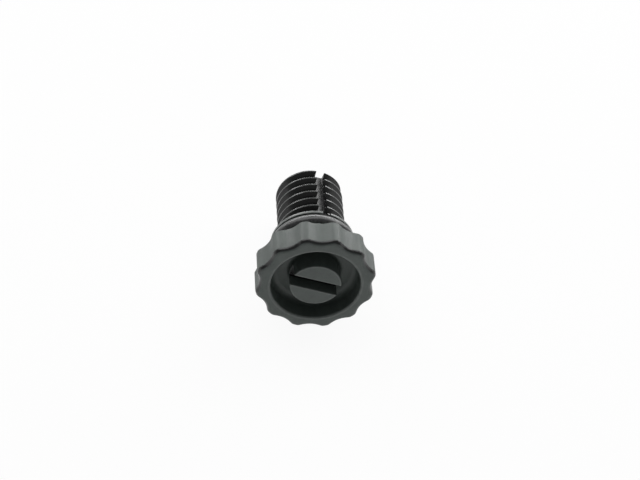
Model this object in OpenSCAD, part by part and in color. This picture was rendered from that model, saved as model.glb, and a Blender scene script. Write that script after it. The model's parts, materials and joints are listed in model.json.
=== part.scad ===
// Bleeder screw for a cooling system: a moulded plastic thumb screw and its sealing ring.
// The screw is drawn about its own axis, with z = 0 on the face of the head and z rising
// towards the tip. It is then laid down as it comes to rest on a flat surface: on two
// neighbouring lobes of the head and on the last thread crest at the tip.
// Rest frame in millimetres: the face looks towards -Y, the tip points towards +Y, +Z is up.

/* [Head] */
// Diameter of the head over its lobes
head_d = 17.2; // [15:0.1:24]
// Height of the head, from its face to its underside
head_h = 4.5; // [3.5:0.1:8]
// Number of grip lobes around the head
lobes = 12; // [8:2:14]
// Radius of each scallop between two lobes
scallop_r = 3.6; // [3.2:0.1:6]
// Depth of each scallop, from the lobe's tip
scallop_depth = 0.6; // [0.3:0.05:0.9]
// Rounding of the head's front edge
face_round = 0.8; // [0.2:0.05:1]
// Chamfer along the head's back edge
back_chamfer = 0.3; // [0.1:0.05:0.6]

/* [Recess and driver slot] */
// Wall between the bottom of a scallop and the recess in the face
rim_wall = 1.65; // [1.2:0.05:2.2]
// Thickness of the head behind the recess
head_web = 1.1; // [0.6:0.1:2]
// Rounding of the recess's mouth
mouth_round = 0.35; // [0.1:0.05:0.5]
// Fillet between the recess's outer wall and its floor
corner_fillet = 1.1; // [0.3:0.05:1.15]
// Fillet between the recess's floor and the boss
floor_fillet = 0.4; // [0.1:0.05:0.4]
// Diameter of the boss that stands in the recess
boss_d = 7.3; // [5:0.1:9]
// Distance of the boss's top below the face
boss_drop = 0.1; // [0:0.05:0.8]
// Chamfer on the boss's edge
boss_edge = 0.15; // [0.05:0.05:0.4]
// Width of the driver slot across the boss
slot_w = 1.8; // [0.8:0.1:3]
// Depth of the driver slot, from the boss's top
slot_depth = 2.2; // [1:0.1:2.2]

/* [Seal seat] */
// Diameter of the shoulder under the head
shoulder_d = 12; // [11:0.1:14]
// Length of the shoulder
shoulder_l = 2.1; // [1:0.1:4]
// Diameter of the neck that carries the sealing ring
neck_d = 8.8; // [8.2:0.1:9.6]
// Diameter of the collar between the sealing ring and the thread
collar_d = 12.1; // [11:0.1:14]
// Thickness of the collar
collar_l = 0.5; // [0.4:0.05:1.5]
// Chamfer on the edges of the shoulder and the collar
land_chamfer = 0.12; // [0.05:0.01:0.18]

/* [Sealing ring] */
// Diameter of the ring's round section
ring_section = 2; // [1.6:0.05:2.6]
// Radial squeeze where the stretched ring lies flat on the neck
ring_squeeze = 0.06; // [0.02:0.01:0.2]
// Gap at each side of the ring in its seat
ring_side_gap = 0.05; // [0.02:0.01:0.4]

/* [Thread] */
// Diameter over the thread crests
thread_d = 9.8; // [9:0.1:11]
// Distance from one crest to the next
thread_pitch = 1.5; // [1.25:0.05:1.75]
// Depth of the thread
thread_depth = 0.85; // [0.6:0.05:0.9]
// Width of the flat on each crest
crest_w = 0.25; // [0.15:0.01:0.3]
// Length from the collar to the tip
thread_l = 10.1; // [8:0.1:20]
// Width of the relief between the collar and the thread, at its root
relief_w = 0.5; // [0.3:0.05:0.8]
// Angle around the axis at which the last crest reaches the tip
crest_end_angle = 268; // [180:1:330]

/* [Vent groove] */
// Width of the groove along the thread
vent_w = 1.25; // [0.6:0.05:2]
// Depth of the groove below the crests
vent_depth = 1.2; // [0.6:0.05:2]

/* [Hidden] */
$fn = 96;
arc_steps = 6;
flare_steps = 5;
flare_stop = 18;
chamfer_step = 0.04;
flank_angle = 30;
turn_steps = 40;
run_in_steps = turn_steps / 4;
overrun = 0.1;
groove_overrun = 0.12;
body_colour = "#2b2e2d";
ring_colour = "#161717";

// Radii, and places along the axis from the face to the tip
head_r = head_d / 2;
valley_r = head_r - scallop_depth;
scallop_chamfer = back_chamfer - chamfer_step;
recess_r = valley_r - rim_wall;
recess_floor = head_h - head_web;
boss_r = boss_d / 2;
shoulder_r = shoulder_d / 2;
neck_r = neck_d / 2;
collar_r = collar_d / 2;
thread_r = thread_d / 2;
root_r = thread_r - thread_depth;
flank_run = thread_depth * tan(flank_angle);
seat_l = ring_section + 2 * ring_side_gap;
seat_start = head_h + shoulder_l;
collar_start = seat_start + seat_l;
collar_end = collar_start + collar_l;
tip = collar_end + thread_l;

// The slot runs from lobe to lobe, and the vent groove is square to it
lobe_step = 360 / lobes;
down_angle = 90;
slot_angle = lobe_step / 2;
vent_angle = slot_angle - 90;

// Rest: the two corners of the lowest scallop and the lowest point of the last crest
scallop_centre_r = valley_r + scallop_r;
corner_angle = acos((scallop_centre_r ^ 2 + head_r ^ 2 - scallop_r ^ 2) / (2 * scallop_centre_r * head_r));
head_rest_r = head_r * cos(corner_angle);
head_rest_z = head_h - back_chamfer;
tip_rest_z = tip - thread_pitch * (crest_end_angle - down_angle) / 360;
tilt = atan((head_rest_r - thread_r) / (tip_rest_z - head_rest_z));
lift = head_rest_z * sin(tilt) + head_rest_r * cos(tilt);
front_y = face_round * cos(tilt) - (head_r - face_round) * cos(corner_angle) * sin(tilt) - face_round;
back_y = tip * cos(tilt) + thread_r * sin(tilt);

// Points on an arc about (x, y), from one angle to another
function arc(x, y, r, from, to, steps = arc_steps) =
    [for (i = [0:steps]) let (a = from + (to - from) * i / steps) [x + r * cos(a), y + r * sin(a)]];

// Lays the upright screw down so that it touches z = 0, with its length centred on the origin
module at_rest() {
    translate([0, -(front_y + back_y) / 2, lift]) rotate([-90 - tilt, 0, 0]) children();
}

// Turned form of the whole screw: boss, recess, head, shoulder, ring seat, collar and thread blank
module turned_body() {
    boss = [
        [0, boss_drop],
        [boss_r - boss_edge, boss_drop],
        [boss_r, boss_drop + boss_edge]
    ];
    recess = concat(
        arc(boss_r + floor_fillet, recess_floor - floor_fillet, floor_fillet, 180, 90),
        arc(recess_r - corner_fillet, recess_floor - corner_fillet, corner_fillet, 90, 0),
        arc(recess_r + mouth_round, mouth_round, mouth_round, 180, 270)
    );
    head = concat(
        arc(head_r - face_round, face_round, face_round, 270, 360),
        [[head_r, head_h - back_chamfer], [head_r - back_chamfer, head_h]]
    );
    seat = [
        [shoulder_r, head_h],
        [shoulder_r, seat_start - land_chamfer],
        [shoulder_r - land_chamfer, seat_start],
        [neck_r, seat_start],
        [neck_r, collar_start],
        [collar_r - land_chamfer, collar_start],
        [collar_r, collar_start + land_chamfer],
        [collar_r, collar_end - land_chamfer],
        [collar_r - land_chamfer, collar_end]
    ];
    thread_blank = [
        [root_r, collar_end],
        [root_r, collar_end + relief_w],
        [thread_r, collar_end + relief_w + flank_run],
        [thread_r, tip],
        [0, tip]
    ];
    rotate_extrude() polygon(concat(boss, recess, head, seat, thread_blank));
}

// Cutter for one scallop: a drum whose ends flare out to round the front edge and chamfer the back edge
module scallop_cutter() {
    flare = arc(scallop_r + face_round, face_round, face_round, 180, 270 - flare_stop, flare_steps);
    mouth_r = scallop_r + face_round;
    back_r = scallop_r + scallop_chamfer + overrun;
    rotate_extrude() polygon(concat(
        [[0, head_h + overrun], [back_r, head_h + overrun], [scallop_r, head_h - scallop_chamfer]],
        flare,
        [[mouth_r, -overrun], [0, -overrun]]
    ));
}

// The turned body with its scallops cut one after another, one of them at the bottom of the lying screw
module scalloped_body(count) {
    if (count == 0) turned_body();
    else difference() {
        scalloped_body(count - 1);
        rotate(down_angle + count * lobe_step) translate([scallop_centre_r, 0, 0]) scallop_cutter();
    }
}

// Driver slot across the boss, open at both ends into the recess
module driver_slot() {
    reach = boss_r + floor_fillet / 2;
    rotate(slot_angle)
        translate([-reach, -slot_w / 2, -overrun])
            cube([2 * reach, slot_w, overrun + boss_drop + slot_depth]);
}

// Right-hand thread groove, swept as a V section that sinks in over its first quarter turn
module thread_groove() {
    outer_r = thread_r + groove_overrun;
    mouth_w = thread_pitch - crest_w + 2 * groove_overrun * tan(flank_angle);
    floor_w = thread_pitch - crest_w - 2 * flank_run;
    last_z = tip - crest_w / 2 + thread_pitch / 2;
    first_z = collar_end + mouth_w / 2 + overrun;
    steps_in = floor((last_z - first_z) / thread_pitch * turn_steps);
    steps = steps_in + turn_steps;
    points = [
        for (i = [-steps_in:turn_steps])
        let (
            a = crest_end_angle + 360 * i / turn_steps,
            z = last_z + thread_pitch * i / turn_steps,
            sink = min(1, (i + steps_in + 1) / run_in_steps),
            inner_r = outer_r + (root_r - outer_r) * sink,
            inner_w = mouth_w + (floor_w - mouth_w) * sink
        )
        each [
            [outer_r * cos(a), outer_r * sin(a), z - mouth_w / 2],
            [outer_r * cos(a), outer_r * sin(a), z + mouth_w / 2],
            [inner_r * cos(a), inner_r * sin(a), z + inner_w / 2],
            [inner_r * cos(a), inner_r * sin(a), z - inner_w / 2]
        ]
    ];
    sides = [
        for (i = [0:steps - 1])
        for (j = [0:3])
        let (p = 4 * i + j, q = 4 * i + (j + 1) % 4)
        each [[p, q + 4, p + 4], [p, q, q + 4]]
    ];
    first_end = [3, 2, 1, 0];
    last_end = [for (j = [0:3]) 4 * steps + j];
    polyhedron(points, concat(sides, [first_end, last_end]));
}

// Vent groove along the thread and through the collar, where coolant and air bleed past
module vent_groove() {
    floor_r = thread_r - vent_depth;
    rotate(vent_angle)
        translate([floor_r, -vent_w / 2, collar_start])
            cube([collar_r + overrun - floor_r, vent_w, tip + overrun - collar_start]);
}

module screw_body() {
    color(body_colour) at_rest() difference() {
        scalloped_body(lobes);
        driver_slot();
        thread_groove();
        vent_groove();
    }
}

// Sealing ring stretched on the neck, with a narrow flat where it bears on it
module sealing_ring() {
    centre_r = neck_r + ring_section / 2 - ring_squeeze;
    color(ring_colour) at_rest()
        translate([0, 0, seat_start + seat_l / 2])
            rotate_extrude()
                intersection() {
                    translate([centre_r, 0]) circle(d = ring_section);
                    translate([neck_r, -ring_section]) square(2 * ring_section);
                }
}

screw_body();
sealing_ring();
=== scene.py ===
# %% [markdown]
# # A bleeder screw, modelled and lit
# The screw is a small black plastic moulding with a rubber sealing ring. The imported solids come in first,
# as a fixed frame that says where everything lies. The two visible pieces are then modelled afresh, with
# the fine roundings that a mould leaves, and each takes the place of its solid.

# %% Load the frame
import json
import math

import bmesh
import bpy
from mathutils import Matrix, Vector


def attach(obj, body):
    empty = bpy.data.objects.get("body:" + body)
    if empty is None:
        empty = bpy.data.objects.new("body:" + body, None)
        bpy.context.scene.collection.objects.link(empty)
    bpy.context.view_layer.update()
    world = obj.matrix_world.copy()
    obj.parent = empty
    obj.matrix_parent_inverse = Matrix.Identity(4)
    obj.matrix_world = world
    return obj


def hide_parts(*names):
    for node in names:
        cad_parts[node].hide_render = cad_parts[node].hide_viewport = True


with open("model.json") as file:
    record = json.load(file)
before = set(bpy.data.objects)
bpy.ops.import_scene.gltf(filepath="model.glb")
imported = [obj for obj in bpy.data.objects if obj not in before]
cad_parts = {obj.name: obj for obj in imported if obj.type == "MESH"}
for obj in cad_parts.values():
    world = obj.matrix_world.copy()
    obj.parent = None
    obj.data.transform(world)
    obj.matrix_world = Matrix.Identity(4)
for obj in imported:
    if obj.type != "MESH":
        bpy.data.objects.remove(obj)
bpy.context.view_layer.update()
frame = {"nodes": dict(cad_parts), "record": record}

MM = 0.001


def in_mm(point):
    """A place in metres, as rounded millimetres."""
    return [round(value / MM, 3) for value in point]


print("solids:", sorted(frame["nodes"]))

# %% [markdown]
# ## The bench
# Both pieces are modelled upright, about the Z axis, in millimetres: z = 0 is the face of the head and z
# rises towards the tip. Only the finished piece is made small and laid down. The record tells how the
# screw lies: the driver slot's mount is a point on the axis just below the face, and its axis points
# straight out of the face.

# %% Rest pose from the record
BOSS_DROP = 0.1
RIGHT_ANGLE = math.radians(90)
mounts = {mount["name"]: mount for mount in frame["record"]["mounts"]}
out_of_face = Vector(mounts["driver_slot"]["axis"]).normalized()
slot_mouth = Vector(mounts["driver_slot"]["pos_m"])
face_centre = slot_mouth + out_of_face * BOSS_DROP * MM
TILT = math.asin(out_of_face.z)
LYING = (-RIGHT_ANGLE - TILT, 0, 0)
print("the axis slopes by", round(math.degrees(TILT), 3), "degrees")
print("centre of the face in mm:", in_mm(face_centre))

# %% [markdown]
# ## Hand tools
# By hand, every step starts with a click on a piece and a selection in it. An operator acts on all that
# is selected, so these helpers deselect first, and then pick points or faces by a test of their place.
# The last one counts the open edges of a mesh, because a solid piece must have none.


# %% Hand tools
def only(piece):
    """Makes piece the one selected and active object."""
    bpy.ops.object.select_all(action="DESELECT")
    piece.select_set(True)
    bpy.context.view_layer.objects.active = piece


def edit(piece):
    """Opens piece in edit mode with nothing selected."""
    only(piece)
    bpy.ops.object.mode_set(mode="EDIT")
    bpy.ops.mesh.select_all(action="DESELECT")


def done():
    """Goes back to object mode."""
    bpy.ops.object.mode_set(mode="OBJECT")


def pick(piece, test, kind="verts"):
    """Selects the vertices, edges or faces of the open piece that pass a test, and counts them."""
    mesh = bmesh.from_edit_mesh(piece.data)
    found = [part for part in getattr(mesh, kind) if test(part)]
    for part in found:
        part.select_set(True)
    mesh.select_flush_mode()
    bmesh.update_edit_mesh(piece.data)
    return len(found)


def radius(point):
    """Distance from the screw's axis."""
    return math.hypot(point.x, point.y)


def counts(piece):
    """Words on a mesh's size and on whether it is closed."""
    mesh = bmesh.new()
    mesh.from_mesh(piece.data)
    loose = sum(1 for part in mesh.edges if len(part.link_faces) != 2)
    words = f"{piece.name}: {len(mesh.verts)} points, {len(mesh.faces)} faces, {loose} open edges"
    mesh.free()
    return words


print("hand tools are ready")

# %% [markdown]
# ## Drawing a section
# A turned form starts as its half section, drawn in the XZ plane. By hand this is one point that is
# pulled out along straight runs and spun round the centre of each rounding. A point comes from a plane
# whose corners are merged.

# %% Section pen
MERGE = 0.0005
PEN = {"x": 0.0, "z": 0.0}


def start_line(name, x, z):
    """A new object with one point, where a section begins."""
    bpy.ops.object.select_all(action="DESELECT")
    bpy.ops.mesh.primitive_plane_add(size=1.0)
    piece = bpy.context.object
    piece.name = name
    bpy.ops.object.mode_set(mode="EDIT")
    bpy.ops.mesh.select_all(action="SELECT")
    bpy.ops.mesh.merge(type="CENTER")
    bpy.ops.transform.translate(value=(x, 0, z))
    PEN.update(x=x, z=z)
    return piece


def line_to(x, z):
    """A straight run to (x, z)."""
    step = (x - PEN["x"], 0, z - PEN["z"])
    bpy.ops.mesh.extrude_vertices_move(TRANSFORM_OT_translate={"value": step})
    PEN.update(x=x, z=z)


def round_to(x, z, centre_x, centre_z, steps):
    """A rounding about a centre to (x, z), the short way round."""
    begin = math.atan2(PEN["z"] - centre_z, PEN["x"] - centre_x)
    end = math.atan2(z - centre_z, x - centre_x)
    turn = (end - begin + math.pi) % (2 * math.pi) - math.pi
    bpy.ops.mesh.spin(
        steps=steps, angle=turn, center=(centre_x, 0, centre_z), axis=(0, 1, 0), use_auto_merge=False
    )
    PEN.update(x=x, z=z)


def face_outwards():
    """Turns all faces of the open piece outwards."""
    bpy.ops.mesh.select_all(action="SELECT")
    bpy.ops.mesh.normals_make_consistent(inside=False)


def turn_section(columns):
    """Spins the drawn section once round the Z axis and closes it."""
    bpy.ops.mesh.select_all(action="SELECT")
    bpy.ops.mesh.spin(
        steps=columns, angle=2 * math.pi, center=(0, 0, 0), axis=(0, 0, 1), use_auto_merge=True
    )
    bpy.ops.mesh.select_all(action="SELECT")
    bpy.ops.mesh.remove_doubles(threshold=MERGE)
    face_outwards()
    done()


def fill_section():
    """Makes the closed run of the pen one face."""
    bpy.ops.mesh.select_all(action="SELECT")
    bpy.ops.mesh.edge_face_add()


print("the pen draws in mm and merges points closer than", MERGE)

# %% [markdown]
# ## The turned body
# The real screw is one moulding. Nearly all of it is round, so one section, spun about the axis, gives
# the boss, the ring-shaped recess, the head, the shoulder, the neck for the seal, the collar and the
# blank of the thread at once. The roundings are drawn into the section, because a bevel put on later
# would have to follow every edge. The recess has a wide fillet at the foot of its outer wall, so its
# floor fades into the wall with no line between them.

# %% Sizes of the head and the recess
HEAD_R = 8.6
HEAD_H = 4.5
FACE_ROUND = 0.8
BACK_CHAMFER = 0.3
RECESS_R = 6.35
RECESS_FLOOR = 3.4
MOUTH_ROUND = 0.35
CORNER_FILLET = 1.1
FLOOR_FILLET = 0.4
BOSS_R = 3.65
BOSS_ROUND = 0.15
FINE = 0.1
FACE_STEPS = 10
MOUTH_STEPS = 8
CORNER_STEPS = 14
FLOOR_STEPS = 6
BOSS_STEPS = 5
FINE_STEPS = 4
print("the head is", 2 * HEAD_R, "mm wide and", HEAD_H, "mm high")

# %% Sizes of the seal seat and the thread
SHOULDER_R = 6.0
SEAT_START = 6.6
SEAT_END = 8.7
NECK_R = 4.4
COLLAR_R = 6.05
COLLAR_END = 9.2
LAND_ROUND = 0.12
LAND_STEPS = 5
THREAD_R = 4.9
THREAD_DEPTH = 0.85
ROOT_R = THREAD_R - THREAD_DEPTH
RELIEF_W = 0.5
FLANK = math.radians(30)
TIP = 19.3
TIP_ROUND = 0.08
print("the thread is", 2 * THREAD_R, "mm wide and ends at z =", TIP)

# %% Draw the section of the head
COLUMNS_A_LOBE = 32
LOBES = 12
boss_fillet = BOSS_R + FLOOR_FILLET
recess_corner = RECESS_R - CORNER_FILLET
screw = start_line("screw", 0, BOSS_DROP)
line_to(BOSS_R - BOSS_ROUND, BOSS_DROP)
round_to(BOSS_R, BOSS_DROP + BOSS_ROUND, BOSS_R - BOSS_ROUND, BOSS_DROP + BOSS_ROUND, BOSS_STEPS)
line_to(BOSS_R, RECESS_FLOOR - FLOOR_FILLET)
round_to(boss_fillet, RECESS_FLOOR, boss_fillet, RECESS_FLOOR - FLOOR_FILLET, FLOOR_STEPS)
line_to(recess_corner, RECESS_FLOOR)
corner_z = RECESS_FLOOR - CORNER_FILLET
round_to(RECESS_R, corner_z, recess_corner, corner_z, CORNER_STEPS)
line_to(RECESS_R, MOUTH_ROUND)
round_to(RECESS_R + MOUTH_ROUND, 0, RECESS_R + MOUTH_ROUND, MOUTH_ROUND, MOUTH_STEPS)
line_to(HEAD_R - FACE_ROUND, 0)
round_to(HEAD_R, FACE_ROUND, HEAD_R - FACE_ROUND, FACE_ROUND, FACE_STEPS)
line_to(HEAD_R, HEAD_H - BACK_CHAMFER)
line_to(HEAD_R - BACK_CHAMFER, HEAD_H)
print("the section of the head ends at", PEN)

# %% Draw the rest of the section and spin it
line_to(SHOULDER_R + FINE, HEAD_H)
round_to(SHOULDER_R, HEAD_H + FINE, SHOULDER_R + FINE, HEAD_H + FINE, FINE_STEPS)
line_to(SHOULDER_R, SEAT_START - LAND_ROUND)
land_r = SHOULDER_R - LAND_ROUND
round_to(land_r, SEAT_START, land_r, SEAT_START - LAND_ROUND, LAND_STEPS)
line_to(NECK_R + FINE, SEAT_START)
round_to(NECK_R, SEAT_START + FINE, NECK_R + FINE, SEAT_START + FINE, FINE_STEPS)
line_to(NECK_R, SEAT_END - FINE)
round_to(NECK_R + FINE, SEAT_END, NECK_R + FINE, SEAT_END - FINE, FINE_STEPS)
rim_r = COLLAR_R - LAND_ROUND
line_to(rim_r, SEAT_END)
round_to(COLLAR_R, SEAT_END + LAND_ROUND, rim_r, SEAT_END + LAND_ROUND, LAND_STEPS)
line_to(COLLAR_R, COLLAR_END - LAND_ROUND)
round_to(rim_r, COLLAR_END, rim_r, COLLAR_END - LAND_ROUND, LAND_STEPS)
line_to(ROOT_R + FINE, COLLAR_END)
round_to(ROOT_R, COLLAR_END + FINE, ROOT_R + FINE, COLLAR_END + FINE, FINE_STEPS)
line_to(ROOT_R, COLLAR_END + RELIEF_W)
line_to(THREAD_R, COLLAR_END + RELIEF_W + THREAD_DEPTH * math.tan(FLANK))
line_to(THREAD_R, TIP - TIP_ROUND)
round_to(THREAD_R - TIP_ROUND, TIP, THREAD_R - TIP_ROUND, TIP - TIP_ROUND, FINE_STEPS)
line_to(0, TIP)
turn_section(LOBES * COLUMNS_A_LOBE)
print(counts(screw))

# %% Make the two flat ends one face each
edit(screw)
bpy.ops.mesh.select_mode(type="FACE")
for end in (BOSS_DROP, TIP):
    bpy.ops.mesh.select_all(action="DESELECT")
    pick(screw, lambda face: all(abs(corner.co.z - end) < MERGE for corner in face.verts), "faces")
    bpy.ops.mesh.dissolve_faces()
bpy.ops.mesh.select_mode(type="VERT")
done()
print(counts(screw))

# %% [markdown]
# ## The grip lobes
# Twelve shallow scallops round the rim give the fingers a hold, and leave soft lobes between them. Each
# could be cut with a drum, but a cut leaves a hard line on both sides of every lobe, where a mould leaves
# a soft one. Here the spokes of the rim are pushed in instead: one resize moves the same spoke of all
# twelve lobes towards the axis, as far as the scallop's arc asks, and a smooth minimum of the arc and the
# rim rounds the lobe's shoulders.

# %% Push the spokes in
SCALLOP_R = 3.6
VALLEY_R = 8.0
LOBE_SOFTNESS = 0.1
LOBE_STEP = 2 * math.pi / LOBES
SPOKE_STEP = LOBE_STEP / COLUMNS_A_LOBE
RIM_START = RECESS_R + MOUTH_ROUND + FINE


def lobe_radius(angle):
    """Radius of the rim at an angle from the middle of a scallop."""
    centre = VALLEY_R + SCALLOP_R
    inside = SCALLOP_R ** 2 - (centre * math.sin(angle)) ** 2
    arc = centre * math.cos(angle) - math.sqrt(inside) if inside > 0 else 2 * HEAD_R
    drop = math.exp((HEAD_R - arc) / LOBE_SOFTNESS)
    return HEAD_R - LOBE_SOFTNESS * math.log(1 + drop)


def spoke_of(point):
    """Which of a lobe's spokes a point of the rim lies on."""
    return round(math.atan2(point.y, point.x) / SPOKE_STEP) % COLUMNS_A_LOBE


def on_rim(point):
    """Whether a point belongs to the outside of the head."""
    return point.z < HEAD_H + MERGE and radius(point) > RIM_START


edit(screw)
down_spoke = round(RIGHT_ANGLE / SPOKE_STEP) % COLUMNS_A_LOBE
half_lobe = COLUMNS_A_LOBE / 2
for spoke in range(COLUMNS_A_LOBE):
    bpy.ops.mesh.select_all(action="DESELECT")
    moved = pick(screw, lambda part: on_rim(part.co) and spoke_of(part.co) == spoke)
    away = (spoke - down_spoke + half_lobe) % COLUMNS_A_LOBE - half_lobe
    shrink = lobe_radius(away * SPOKE_STEP) / HEAD_R
    bpy.ops.transform.resize(value=(shrink, shrink, 1), center_override=(0, 0, 0))
done()
print("each spoke has", moved, "points; the rim runs from", VALLEY_R, "to", HEAD_R)

# %% [markdown]
# ## The driver slot
# The slot, the thread's groove and the vent groove are cut with the Boolean modifier, each with a cutter
# that has the groove's own section. The slot runs across the boss and is open at both ends. Its cutter's
# lips flare a little, so that the edges of the cut come out rounded, as on the moulding. A cut leaves
# slivers along its edge, and spare points that only two edges meet in, so the tool clears both.

# %% Cut tool
SLIVER = 0.002


def cut(piece, cutter):
    """Takes cutter away from piece, and clears the slivers and spare points along the cut."""
    only(piece)
    modifier = piece.modifiers.new("cut", "BOOLEAN")
    modifier.operation = "DIFFERENCE"
    modifier.solver = "EXACT"
    modifier.object = cutter
    bpy.ops.object.modifier_apply(modifier=modifier.name)
    bpy.data.objects.remove(cutter)
    edit(piece)
    bpy.ops.mesh.select_all(action="SELECT")
    bpy.ops.mesh.dissolve_degenerate(threshold=SLIVER)
    bpy.ops.mesh.select_all(action="DESELECT")
    if pick(piece, lambda part: len(part.link_edges) == 2):
        bpy.ops.mesh.dissolve_verts()
    done()
    print(counts(piece))


print("a cut clears slivers thinner than", SLIVER, "mm")

# %% Draw the slot's section
SLOT_W = 1.8
SLOT_DEPTH = 2.2
SLOT_LIP = 0.12
SLOT_FILLET = 0.15
SLOT_ANGLE = LOBE_STEP / 2
LIP_END = math.radians(76)
LIP_STEPS = 4
OVERRUN = 0.2
slot_floor = BOSS_DROP + SLOT_DEPTH
slot_half = SLOT_W / 2
lip = []
for step in range(LIP_STEPS + 1):
    turn = LIP_END * step / LIP_STEPS
    lip_x = slot_half + SLOT_LIP * (1 - math.cos(turn))
    lip.append((lip_x, BOSS_DROP + SLOT_LIP * (1 - math.sin(turn))))
slot_cutter = start_line("slot_cutter", -lip[0][0], lip[0][1])
for x, z in lip[1:]:
    line_to(-x, z)
line_to(-lip[-1][0], BOSS_DROP - OVERRUN)
line_to(lip[-1][0], BOSS_DROP - OVERRUN)
for x, z in reversed(lip):
    line_to(x, z)
fillet_x = slot_half - SLOT_FILLET
fillet_z = slot_floor - SLOT_FILLET
line_to(slot_half, fillet_z)
round_to(fillet_x, slot_floor, fillet_x, fillet_z, FINE_STEPS)
line_to(-fillet_x, slot_floor)
round_to(-slot_half, fillet_z, -fillet_x, fillet_z, FINE_STEPS)
fill_section()
print("the slot is", SLOT_W, "mm wide and its floor is at z =", slot_floor)

# %% Cut the driver slot
slot_reach = BOSS_R + FLOOR_FILLET / 2
bpy.ops.transform.translate(value=(0, -slot_reach, 0))
bpy.ops.mesh.extrude_region_move(TRANSFORM_OT_translate={"value": (0, 2 * slot_reach, 0)})
face_outwards()
done()
slot_cutter.rotation_euler.z = SLOT_ANGLE - RIGHT_ANGLE
bpy.ops.object.transform_apply(location=False, rotation=True, scale=False)
print(counts(slot_cutter))
cut(screw, slot_cutter)

# %% [markdown]
# ## The thread
# The thread is a right-hand helix with a pitch of 1.5 mm. On a lathe one tool cuts its groove, and the
# same is done here: the groove's section is drawn once and the Screw modifier winds it up the blank. What
# is left between two turns is the crest. Over its first quarter turn the groove sinks in from nothing, so
# that it has a soft start.

# %% Place the groove
PITCH = 1.5
CREST_W = 0.25
GROOVE_OUT = 0.12
STEPS_A_TURN = 96
COARSE_STEPS = 40
CREST_END = math.radians(268)
mouth_half = (PITCH - CREST_W) / 2
floor_half = mouth_half - THREAD_DEPTH * math.tan(FLANK)
last_z = TIP - CREST_W / 2 + PITCH / 2
first_z = COLLAR_END + mouth_half + GROOVE_OUT * math.tan(FLANK) + FINE
turns_in = math.floor((last_z - first_z) / PITCH * COARSE_STEPS) / COARSE_STEPS
turns = turns_in + 1
start_z = last_z - turns_in * PITCH
start_angle = CREST_END - 2 * math.pi * turns_in
print("the groove has", turns, "turns and starts at z =", round(start_z, 3))

# %% Draw the groove's section
CREST_LIP = 0.07
CREST_FROM = math.radians(12)
CREST_STEPS = 4
ROOT_FILLET = 0.1
ROOT_STEPS = 3
lip_r = THREAD_R - CREST_LIP
lip_z = mouth_half + CREST_LIP * math.tan(FLANK)
root_r = ROOT_R + ROOT_FILLET
root_z = floor_half - ROOT_FILLET * math.tan(FLANK)
crest_point = (lip_r + CREST_LIP * math.cos(CREST_FROM), lip_z - CREST_LIP * math.sin(CREST_FROM))
flank_top = (lip_r + CREST_LIP * math.sin(FLANK), lip_z - CREST_LIP * math.cos(FLANK))
flank_foot = (root_r - ROOT_FILLET * math.sin(FLANK), root_z + ROOT_FILLET * math.cos(FLANK))
outside = THREAD_R + GROOVE_OUT
groove = start_line("groove_cutter", outside, -crest_point[1])
line_to(crest_point[0], -crest_point[1])
round_to(flank_top[0], -flank_top[1], lip_r, -lip_z, CREST_STEPS)
line_to(flank_foot[0], -flank_foot[1])
round_to(ROOT_R, -root_z, root_r, -root_z, ROOT_STEPS)
line_to(ROOT_R, root_z)
round_to(*flank_foot, root_r, root_z, ROOT_STEPS)
line_to(*flank_top)
round_to(*crest_point, lip_r, lip_z, CREST_STEPS)
line_to(outside, crest_point[1])
fill_section()
bpy.ops.transform.translate(value=(0, 0, start_z))
done()
groove.rotation_euler.z = start_angle
bpy.ops.object.transform_apply(location=False, rotation=True, scale=False)
print(counts(groove))

# %% Wind the section up the blank
wind = groove.modifiers.new("wind", "SCREW")
wind.axis = "Z"
wind.angle = 2 * math.pi * turns
wind.screw_offset = PITCH * turns
wind.steps = round(STEPS_A_TURN * turns)
wind.render_steps = wind.steps
wind.use_merge_vertices = False
bpy.ops.object.modifier_apply(modifier=wind.name)
edit(groove)
bpy.ops.mesh.select_non_manifold(
    extend=False, use_wire=False, use_multi_face=False, use_non_contiguous=False, use_verts=False
)
bpy.ops.mesh.fill_holes(sides=0)
done()
print(counts(groove))

# %% Let its start sink in, and cut
WIND_STEP = 2 * math.pi / STEPS_A_TURN
SINK_STEPS = STEPS_A_TURN // 4


def winding_of(point):
    """How far round the helix a point of the cutter's first turn lies, in steps from its start."""
    around = (math.atan2(point.y, point.x) - start_angle) % (2 * math.pi)
    return round(around / WIND_STEP) % STEPS_A_TURN


def below_lip(point, step, height):
    """Whether a point lies in the given step of the first turn, below the crest's lip."""
    near = abs(point.z - height) < PITCH / 2 and radius(point) < lip_r
    return near and winding_of(point) == step


edit(groove)
for step in range(SINK_STEPS):
    height = start_z + PITCH * step / STEPS_A_TURN
    angle = start_angle + WIND_STEP * step
    crest = (THREAD_R * math.cos(angle), THREAD_R * math.sin(angle), height)
    sunk = (step + 1) / SINK_STEPS
    bpy.ops.mesh.select_all(action="DESELECT")
    pick(groove, lambda part: below_lip(part.co, step, height))
    bpy.ops.transform.resize(value=(sunk, sunk, 1), center_override=crest)
face_outwards()
done()
print(counts(groove))
cut(screw, groove)

# %% [markdown]
# ## The vent groove
# A straight groove runs along the thread and notches the collar. When the screw is slackened, air and
# coolant bleed past it. It is a box with rounded bottom corners, taken away in one cut.

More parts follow.
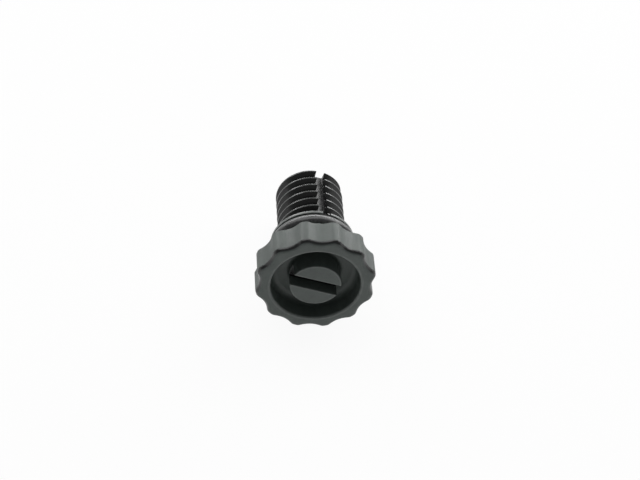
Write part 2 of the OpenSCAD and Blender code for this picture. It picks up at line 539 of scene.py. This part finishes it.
# %% Cut the vent groove
VENT_W = 1.25
VENT_DEPTH = 1.2
VENT_FILLET = 0.12
VENT_ANGLE = SLOT_ANGLE - RIGHT_ANGLE
vent_floor = THREAD_R - VENT_DEPTH
vent_half = VENT_W / 2
wall_foot = vent_floor + VENT_FILLET
floor_edge = vent_half - VENT_FILLET
vent_top = COLLAR_R + OVERRUN
vent_length = TIP + OVERRUN - SEAT_END
vent = start_line("vent_cutter", -vent_half, vent_top)
line_to(-vent_half, wall_foot)
round_to(-floor_edge, vent_floor, -floor_edge, wall_foot, FINE_STEPS)
line_to(floor_edge, vent_floor)
round_to(vent_half, wall_foot, floor_edge, wall_foot, FINE_STEPS)
line_to(vent_half, vent_top)
fill_section()
bpy.ops.mesh.extrude_region_move(TRANSFORM_OT_translate={"value": (0, vent_length, 0)})
face_outwards()
done()
vent.rotation_euler = (RIGHT_ANGLE, 0, VENT_ANGLE + RIGHT_ANGLE)
vent.location.z = SEAT_END
bpy.ops.object.transform_apply(location=True, rotation=True, scale=False)
print(counts(vent))
cut(screw, vent)

# %% [markdown]
# ## Laying the screw down
# The finished mesh is turned onto its side, made small and moved to its place, and the change is applied,
# so that the object itself sits at the origin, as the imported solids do. Smooth shading stops at the edges
# that are still sharp.

# %% Lay down
SHARP = math.radians(32)


def lay_down(piece):
    """Turns a piece from the bench into its place in the frame."""
    only(piece)
    piece.scale = (MM, MM, MM)
    piece.rotation_euler = LYING
    piece.location = face_centre
    bpy.ops.object.transform_apply(location=True, rotation=True, scale=True)
    bpy.ops.object.shade_smooth_by_angle(angle=SHARP)
    low, high = piece.bound_box[0], piece.bound_box[6]
    print(piece.name, "lies from", in_mm(low), "to", in_mm(high))


lay_down(screw)

# %% [markdown]
# ## The sealing ring
# The seal is a rubber O-ring. It is stretched onto the neck, where it lies flat in a narrow band. A torus
# has its form, and a cut with the neck's own cylinder gives it the flat. Its mould closes round the
# middle of the ring and leaves a hair of flash there: the outermost loop of the torus, pulled out by a
# hundredth of a millimetre.

# %% Sealing ring
RING_SECTION = 2.0
RING_SQUEEZE = 0.06
RING_COLUMNS = 192
SECTION_COLUMNS = 64
FLASH = 0.01
ring_r = NECK_R + RING_SECTION / 2 - RING_SQUEEZE
ring_top = ring_r + RING_SECTION / 2
ring_z = (SEAT_START + SEAT_END) / 2
bpy.ops.object.select_all(action="DESELECT")
bpy.ops.mesh.primitive_torus_add(
    major_radius=ring_r,
    minor_radius=RING_SECTION / 2,
    major_segments=RING_COLUMNS,
    minor_segments=SECTION_COLUMNS,
)
seal = bpy.context.object
seal.name = "seal_ring"
edit(seal)
flash_points = pick(seal, lambda part: radius(part.co) > ring_top - MERGE)
swell = (ring_top + FLASH) / ring_top
bpy.ops.transform.resize(value=(swell, swell, 1), center_override=(0, 0, 0))
done()
seal.location.z = ring_z
bpy.ops.object.transform_apply(location=True, rotation=True, scale=True)
print("the flash runs through", flash_points, "points")

# %% Flatten it on the neck
bpy.ops.object.select_all(action="DESELECT")
bpy.ops.mesh.primitive_cylinder_add(
    vertices=RING_COLUMNS, radius=NECK_R, depth=3 * RING_SECTION, location=(0, 0, ring_z)
)
neck_cutter = bpy.context.object
bpy.ops.object.transform_apply(location=True, rotation=True, scale=True)
cut(seal, neck_cutter)
lay_down(seal)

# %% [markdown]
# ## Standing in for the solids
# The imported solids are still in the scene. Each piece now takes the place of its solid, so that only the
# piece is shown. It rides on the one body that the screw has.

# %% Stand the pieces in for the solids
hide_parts("screw_body")
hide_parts("sealing_ring")
for piece, slot in ((screw, "black_plastic"), (seal, "black_rubber")):
    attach(piece, "root")
print("the two pieces stand in for", sorted(frame["nodes"]))

# %% [markdown]
# ## Finishes
# A finish is a small tree of nodes. Object coordinates say where on the piece a point lies, and a Mapping
# node brings them back to the bench, so that every pattern is written in millimetres of the upright
# screw: z is the place along the axis, and the length of x and y is the distance from it.


# %% Node tools
def new_material(name):
    """A material, its node tree and its shader."""
    material = bpy.data.materials.new(name)
    material.use_nodes = True
    return material, material.node_tree, material.node_tree.nodes["Principled BSDF"]


def feed(tree, socket, value):
    """Gives a socket a number, a colour or the output of another node."""
    if isinstance(value, bpy.types.NodeSocket):
        tree.links.new(value, socket)
    else:
        socket.default_value = value


def bench_place(tree):
    """Object coordinates brought back to the bench, in millimetres."""
    place = tree.nodes.new("ShaderNodeTexCoord")
    back = tree.nodes.new("ShaderNodeMapping")
    back.vector_type = "TEXTURE"
    back.inputs["Location"].default_value = face_centre
    back.inputs["Rotation"].default_value = LYING
    back.inputs["Scale"].default_value = (MM, MM, MM)
    tree.links.new(place.outputs["Object"], back.inputs["Vector"])
    return back.outputs["Vector"]


def stretch(tree, place, factors):
    """Coordinates times a factor for each axis."""
    node = tree.nodes.new("ShaderNodeVectorMath")
    node.operation = "MULTIPLY"
    tree.links.new(place, node.inputs[0])
    node.inputs[1].default_value = factors
    return node.outputs["Vector"]


def along(tree, place):
    """Distance along the axis, from the face."""
    node = tree.nodes.new("ShaderNodeSeparateXYZ")
    tree.links.new(place, node.inputs[0])
    return node.outputs["Z"]


def outwards(tree, place):
    """Distance from the axis."""
    node = tree.nodes.new("ShaderNodeVectorMath")
    node.operation = "LENGTH"
    tree.links.new(stretch(tree, place, (1, 1, 0)), node.inputs[0])
    return node.outputs["Value"]


def across_slot(tree, place):
    """Distance from the middle of the driver slot, square to it."""
    node = tree.nodes.new("ShaderNodeVectorMath")
    node.operation = "DOT_PRODUCT"
    tree.links.new(place, node.inputs[0])
    node.inputs[1].default_value = (-math.sin(SLOT_ANGLE), math.cos(SLOT_ANGLE), 0)
    return node.outputs["Value"]


def ramp(tree, value, start, end, low=0.0, high=1.0):
    """A soft step from low at start to high at end."""
    node = tree.nodes.new("ShaderNodeMapRange")
    node.interpolation_type = "SMOOTHSTEP"
    tree.links.new(value, node.inputs["Value"])
    for name, number in (("From Min", start), ("From Max", end), ("To Min", low), ("To Max", high)):
        feed(tree, node.inputs[name], number)
    return node.outputs["Result"]


def math_of(tree, operation, first, second):
    """Two numbers joined by a Math node."""
    node = tree.nodes.new("ShaderNodeMath")
    node.operation = operation
    feed(tree, node.inputs[0], first)
    feed(tree, node.inputs[1], second)
    return node.outputs["Value"]


def all_of(tree, *masks):
    """The product of some masks."""
    result = masks[0]
    for mask in masks[1:]:
        result = math_of(tree, "MULTIPLY", result, mask)
    return result


def any_of(tree, *masks):
    """The greatest of some masks."""
    result = masks[0]
    for mask in masks[1:]:
        result = math_of(tree, "MAXIMUM", result, mask)
    return result


def noise(tree, place, scale, detail=2.0):
    """Cloudy noise around 0.5, with scale in blobs a millimetre."""
    node = tree.nodes.new("ShaderNodeTexNoise")
    tree.links.new(place, node.inputs["Vector"])
    node.inputs["Scale"].default_value = scale
    node.inputs["Detail"].default_value = detail
    return node.outputs["Fac"]


def blend(tree, share, first, second):
    """A colour between two colours."""
    node = tree.nodes.new("ShaderNodeMix")
    node.data_type = "RGBA"
    sockets = [socket for socket in node.inputs if socket.enabled]
    for socket, value in zip(sockets, (share, first, second)):
        feed(tree, socket, value)
    return next(socket for socket in node.outputs if socket.enabled)


def relief(tree, height, depth, normal=None):
    """A bump from a height map, with its depth in metres."""
    node = tree.nodes.new("ShaderNodeBump")
    node.inputs["Distance"].default_value = depth
    tree.links.new(height, node.inputs["Height"])
    if normal is not None:
        tree.links.new(normal, node.inputs["Normal"])
    return node.outputs["Normal"]


print("node tools are ready")

# %% [markdown]
# ## Black plastic
# The head and the seat of the ring come from a finely textured mould, so they are a dull dark grey. The
# thread and the rounding of the head's rim come from polished steel: they are deep black and reflect in
# thin lines. The crests of the thread, the collar's rim, the edges of the boss and the mouth of the recess
# get a painted highlight: their colour is lighter where the real edges catch light. The slot's floor gets
# painted shade: its colour is as black as the polished parts. Each zone is a mask, a number from 0 to 1
# that comes from a point's place on the bench. Painting a mask by hand would need an image, while these
# masks keep to the sizes of the piece.

# %% Polished zones and the slot's painted shade
# Each pair says where a soft step starts and where it is full, in millimetres.
THREAD_POLISH = (SEAT_END + 0.1, SEAT_END + 0.3)
RIM_START_Z = (0.05, 0.28)
RIM_END_Z = (FACE_ROUND - 0.04, FACE_ROUND - 0.28)
RIM_OUT = (RECESS_R + 0.4, RECESS_R + 0.6)
SLOT_FLOOR_START = (slot_floor - 0.6, slot_floor - 0.2)
SLOT_FLOOR_END = (slot_floor + 0.4, slot_floor + 0.1)
SLOT_FLOOR_OUT = (BOSS_R - 0.02, BOSS_R - 0.06)
plastic, tree, shader = new_material("black_plastic")
place = bench_place(tree)
z = along(tree, place)
out = outwards(tree, place)
on_shank = ramp(tree, z, *THREAD_POLISH)
rim_round = all_of(
    tree, ramp(tree, z, *RIM_START_Z), ramp(tree, z, *RIM_END_Z), ramp(tree, out, *RIM_OUT)
)
polished = any_of(tree, on_shank, rim_round)
# Painted shade: the slot's floor is coloured as black as the polished parts, though its gloss stays dull.
slot_painted_shade = all_of(
    tree,
    ramp(tree, z, *SLOT_FLOOR_START),
    ramp(tree, z, *SLOT_FLOOR_END),
    ramp(tree, out, *SLOT_FLOOR_OUT),
)
print("the polished zones take", len(tree.nodes), "nodes")

# %% Painted highlights on the crests and the collar
THREAD_START = (COLLAR_END + 0.2, COLLAR_END + 0.4)
CREST_OUT = (THREAD_R - 0.03, THREAD_R)
CREST_HIGHLIGHT = 0.33
COLLAR_START = (SEAT_END - 0.05, SEAT_END + 0.05)
COLLAR_OUT = (COLLAR_R - 0.1, COLLAR_R - 0.01)
on_thread = ramp(tree, z, *THREAD_START)
# Painted highlight: the thread's crests and the collar's rim are coloured lighter where the real edges
# catch light.
crests = all_of(tree, on_thread, ramp(tree, out, *CREST_OUT, 0.0, CREST_HIGHLIGHT))
collar_rim = all_of(tree, ramp(tree, z, *COLLAR_START), ramp(tree, out, *COLLAR_OUT))
print("with the wear on the thread it has", len(tree.nodes), "nodes")

# %% Painted highlights on the boss and the mouth of the recess
BOSS_RIM = (BOSS_R - 0.3, BOSS_R - 0.15)
SLOT_EDGE = (slot_half + 0.3, slot_half + 0.15)
BOSS_TOP = (BOSS_DROP + 0.2, BOSS_DROP + 0.1)
BOSS_OUT = (BOSS_R + 0.1, BOSS_R)
BOSS_HIGHLIGHT = 0.6
MOUTH_TOP = (MOUTH_ROUND, MOUTH_ROUND - 0.2)
MOUTH_START = (RECESS_R - 0.1, RECESS_R)
MOUTH_END = (RECESS_R + 0.5, RECESS_R + 0.35)
MOUTH_HIGHLIGHT = 0.5
from_slot = math_of(tree, "ABSOLUTE", across_slot(tree, place), 0.0)
# Painted highlight: the edges of the boss and the lips of the slot are coloured lighter where they catch
# light.
boss_edges = all_of(
    tree,
    any_of(
        tree,
        ramp(tree, out, *BOSS_RIM, 0.0, BOSS_HIGHLIGHT),
        ramp(tree, from_slot, *SLOT_EDGE, 0.0, BOSS_HIGHLIGHT),
    ),
    ramp(tree, z, *BOSS_TOP),
    ramp(tree, out, *BOSS_OUT),
)
# Painted highlight: the rounded mouth of the recess is coloured lighter where it catches light.
mouth_edge = all_of(
    tree,
    ramp(tree, z, *MOUTH_TOP),
    ramp(tree, out, *MOUTH_START),
    ramp(tree, out, *MOUTH_END, 0.0, MOUTH_HIGHLIGHT),
)
print("with the wear on the head it has", len(tree.nodes), "nodes")

# %% Colour of the plastic
TEXTURED = (0.060, 0.074, 0.067, 1)
TEXTURED_DARK = (0.048, 0.059, 0.054, 1)
POLISHED = (0.005, 0.0055, 0.0054, 1)
# Colour of the painted highlights on the edges.
EDGE_HIGHLIGHT_PAINT = (0.11, 0.12, 0.115, 1)
HIGHLIGHT_BLOBS = 1.6
HIGHLIGHT_RANGE = (0.3, 0.55)
LEAST_HIGHLIGHT = 0.45
CLOUD_BLOBS = 0.5
DRAG_BLOBS = (1.4, 1.4, 0.12)
PATCH_RANGE = (0.75, 1.25)
# Noise makes the painted highlights uneven.
uneven_highlight = ramp(tree, noise(tree, place, HIGHLIGHT_BLOBS), *HIGHLIGHT_RANGE, LEAST_HIGHLIGHT, 1.0)
painted_highlight = all_of(tree, any_of(tree, crests, collar_rim, boss_edges, mouth_edge), uneven_highlight)
clouds = noise(tree, place, CLOUD_BLOBS)
drag = noise(tree, stretch(tree, place, DRAG_BLOBS), 1.0)
patches = ramp(tree, math_of(tree, "ADD", clouds, drag), *PATCH_RANGE)
dull = blend(tree, patches, TEXTURED_DARK, TEXTURED)
# Black covers the polished finish and the painted shade on the slot's floor.
black = any_of(tree, polished, slot_painted_shade)
# The painted highlights go over the dull and the black colour.
colour = blend(tree, painted_highlight, blend(tree, black, dull, POLISHED), EDGE_HIGHLIGHT_PAINT)
feed(tree, shader.inputs["Base Color"], colour)
print("with its colour it has", len(tree.nodes), "nodes")

# %% Gloss and grain of the plastic
NOISE_RANGE = (0.3, 0.7)
DULL_ROUGHNESS = (0.46, 0.56)
STEEL_ROUGHNESS = (0.19, 0.26)
EDGE_HIGHLIGHT_ROUGHNESS = 0.3
GRAIN_BLOBS = 4.5
GRAIN_DEPTH = 0.00002
POLISHED_GRAIN = 0.1
WAVE_BLOBS = 0.7
WAVE_DEPTH = 0.000012
dull_gloss = ramp(tree, drag, *NOISE_RANGE, *DULL_ROUGHNESS)
steel_gloss = ramp(tree, clouds, *NOISE_RANGE, *STEEL_ROUGHNESS)
gloss = ramp(tree, polished, 0, 1, dull_gloss, steel_gloss)
feed(tree, shader.inputs["Roughness"], ramp(tree, painted_highlight, 0, 1, gloss, EDGE_HIGHLIGHT_ROUGHNESS))
fineness = ramp(tree, polished, 0, 1, 1.0, POLISHED_GRAIN)
grain = all_of(tree, noise(tree, place, GRAIN_BLOBS, detail=4.0), fineness)
wave = relief(tree, noise(tree, place, WAVE_BLOBS, detail=1.0), WAVE_DEPTH)
feed(tree, shader.inputs["Normal"], relief(tree, grain, GRAIN_DEPTH, wave))
screw.data.materials.clear()
screw.data.materials.append(plastic)
print("the whole plastic has", len(tree.nodes), "nodes")

# %% [markdown]
# ## Black rubber
# The ring is smooth black rubber with a soft gloss. A trace of bloom, the pale film that rubber gets with
# age, makes its colour and gloss uneven, and a very fine orange peel breaks its reflections. The line of
# flash round its middle gets a painted highlight: its colour is lighter where the ring's crest catches
# light.

# %% Rubber
RUBBER_DARK = (0.020, 0.0207, 0.021, 1)
RUBBER_PALE = (0.032, 0.033, 0.0335, 1)
# Colour of the painted highlight on the flash line.
FLASH_HIGHLIGHT_PAINT = (0.072, 0.0745, 0.0745, 1)
FLASH_START = (ring_z - 0.14, ring_z - 0.09)
FLASH_END = (ring_z + 0.14, ring_z + 0.09)
FLASH_OUT = (ring_r, ring_top - 0.1)
BLOOM_BLOBS = 1.2
RUBBER_ROUGHNESS = (0.24, 0.32)
PEEL_BLOBS = 7.0
PEEL_DEPTH = 0.000002
rubber, tree, shader = new_material("black_rubber")
place = bench_place(tree)
bloom = noise(tree, place, BLOOM_BLOBS, detail=3.0)
black = blend(tree, bloom, RUBBER_DARK, RUBBER_PALE)
z = along(tree, place)
# Painted highlight along the flash round the ring's middle.
flash = all_of(
    tree,
    ramp(tree, z, *FLASH_START),
    ramp(tree, z, *FLASH_END),
    ramp(tree, outwards(tree, place), *FLASH_OUT),
)
feed(tree, shader.inputs["Base Color"], blend(tree, flash, black, FLASH_HIGHLIGHT_PAINT))
feed(tree, shader.inputs["Roughness"], ramp(tree, bloom, *NOISE_RANGE, *RUBBER_ROUGHNESS))
feed(tree, shader.inputs["Normal"], relief(tree, noise(tree, place, PEEL_BLOBS), PEEL_DEPTH))
seal.data.materials.clear()
seal.data.materials.append(rubber)
print("the rubber has", len(tree.nodes), "nodes")

# %% [markdown]
# ## Floor
# The screw lies on plain white paper. To the camera and in reflections the paper is mostly a white glow,
# which keeps it white without more light on the screw. The rest is its lit surface, and that part takes
# the soft shadow. Far out a low wall of the same paper goes round, as a photographer's paper sweeps up
# behind a thing, so that no low view looks past the paper's edge.

# %% White paper
PAPER = (0.85, 0.85, 0.85, 1)
PAPER_ROUGHNESS = 0.9
GLOW_SHARE = 0.93
paper, tree, shader = new_material("white_paper")
shader.inputs["Base Color"].default_value = PAPER
shader.inputs["Roughness"].default_value = PAPER_ROUGHNESS
rays = tree.nodes.new("ShaderNodeLightPath").outputs
seen = any_of(tree, rays["Is Camera Ray"], rays["Is Glossy Ray"], rays["Is Transmission Ray"])
glow = tree.nodes.new("ShaderNodeEmission")
mix = tree.nodes.new("ShaderNodeMixShader")
feed(tree, mix.inputs[0], math_of(tree, "MULTIPLY", seen, GLOW_SHARE))
feed(tree, mix.inputs[1], shader.outputs[0])
feed(tree, mix.inputs[2], glow.outputs[0])
feed(tree, tree.nodes["Material Output"].inputs["Surface"], mix.outputs[0])
print("the paper has", len(tree.nodes), "nodes")

# %% Floor and sweep
FLOOR_SIZE = 6.0
SWEEP_R = 2.9
SWEEP_H = 0.8
SWEEP_COLUMNS = 96
bpy.ops.object.select_all(action="DESELECT")
bpy.ops.mesh.primitive_plane_add(size=FLOOR_SIZE)
floor = bpy.context.object
floor.name = "floor"
floor.data.materials.append(paper)
bpy.ops.object.select_all(action="DESELECT")
bpy.ops.mesh.primitive_cylinder_add(
    vertices=SWEEP_COLUMNS,
    radius=SWEEP_R,
    depth=SWEEP_H,
    end_fill_type="NOTHING",
    location=(0, 0, SWEEP_H / 2),
)
sweep = bpy.context.object
sweep.name = "sweep"
sweep.data.materials.append(paper)
print("the paper is", FLOOR_SIZE, "m wide and its sweep", SWEEP_H, "m high")

# %% [markdown]
# ## Light
# Black gloss shows what it mirrors, so the lamps stand where their mirror images are wanted. They form an
# arch behind the screw: a low strip with a card at each end, a box on each side and one high up. The side
# of the head and the ring catch them. In the middle of the arch, straight behind, a gap stays dark: the
# flat crests of the thread mirror it, so they show only thin lines. A weak card in front lifts the head's
# face.

# %% Softboxes
CENTRE = Vector((0, 0, 0.008))
LAMP_DISTANCE = 0.5


def softbox(name, azimuth, elevation, width, height, power):
    """An area lamp that looks at the screw. Azimuth 0 is in front of the face, 90 is on the right."""
    turn, rise = math.radians(azimuth), math.radians(elevation)
    towards = Vector(
        (math.sin(turn) * math.cos(rise), -math.cos(turn) * math.cos(rise), math.sin(rise))
    )
    lamp = bpy.data.lights.new(name, "AREA")
    lamp.shape = "RECTANGLE"
    lamp.size = width
    lamp.size_y = height
    lamp.energy = power
    holder = bpy.data.objects.new(name, lamp)
    bpy.context.scene.collection.objects.link(holder)
    holder.location = CENTRE + towards * LAMP_DISTANCE
    holder.rotation_euler = (-towards).to_track_quat("-Z", "Y").to_euler()
    holder.visible_camera = False
    print(name, "gives", power, "W from", azimuth, "degrees round and", elevation, "degrees up")


softbox("low_box", azimuth=178, elevation=8, width=0.84, height=0.13, power=1.9)
softbox("right_box", azimuth=130, elevation=32, width=0.36, height=0.21, power=0.9)
softbox("left_box", azimuth=225, elevation=32, width=0.36, height=0.21, power=0.55)
softbox("high_box", azimuth=190, elevation=60, width=0.6, height=0.24, power=1.2)
softbox("right_card", azimuth=128, elevation=6, width=0.2, height=0.11, power=0.3)
softbox("left_card", azimuth=232, elevation=6, width=0.2, height=0.11, power=0.16)
softbox("front_card", azimuth=5, elevation=8, width=0.5, height=0.2, power=0.35)

# %% The room's own light
ROOM = 0.25
world = bpy.data.worlds.new("room")
bpy.context.scene.world = world
world.use_nodes = True
sky = world.node_tree.nodes["Background"]
sky.inputs["Color"].default_value = (1, 1, 1, 1)
sky.inputs["Strength"].default_value = ROOM
print("the room's own light has a strength of", ROOM)

# %% [markdown]
# ## Camera
# The camera looks down on the head from the front, with a long lens. Its place comes from the outlines of
# the head and the thread, and it is rolled a little, because the picture isn't level.

# %% Camera
AIM = Vector((0.965, -0.639, 8.297)) * MM
DISTANCE = 272.98 * MM
AZIMUTH = math.radians(-10.80)
ELEVATION = math.radians(55.85)
ROLL = math.radians(10.92)
FOCAL_PIXELS = 1900
IMAGE_WIDTH = 640
SENSOR = 36
CLIP_START = 0.01
back = Vector(
    (
        math.sin(AZIMUTH) * math.cos(ELEVATION),
        -math.cos(AZIMUTH) * math.cos(ELEVATION),
        math.sin(ELEVATION),
    )
)
lens = bpy.data.cameras.new("camera")
lens.sensor_width = SENSOR
lens.lens = SENSOR * FOCAL_PIXELS / IMAGE_WIDTH
lens.clip_start = CLIP_START
camera = bpy.data.objects.new("camera", lens)
bpy.context.scene.collection.objects.link(camera)
camera.location = AIM + back * DISTANCE
look = (-back).to_track_quat("-Z", "Y").to_matrix().to_4x4()
camera.rotation_euler = (look @ Matrix.Rotation(ROLL, 4, "Z")).to_euler()
bpy.context.scene.camera = camera
print("the lens is", round(lens.lens, 1), "mm long")

# %% [markdown]
# ## Last steps
# The picture is shown with plain sRGB values.

# %% Picture settings
bpy.context.scene.view_settings.view_transform = "Standard"
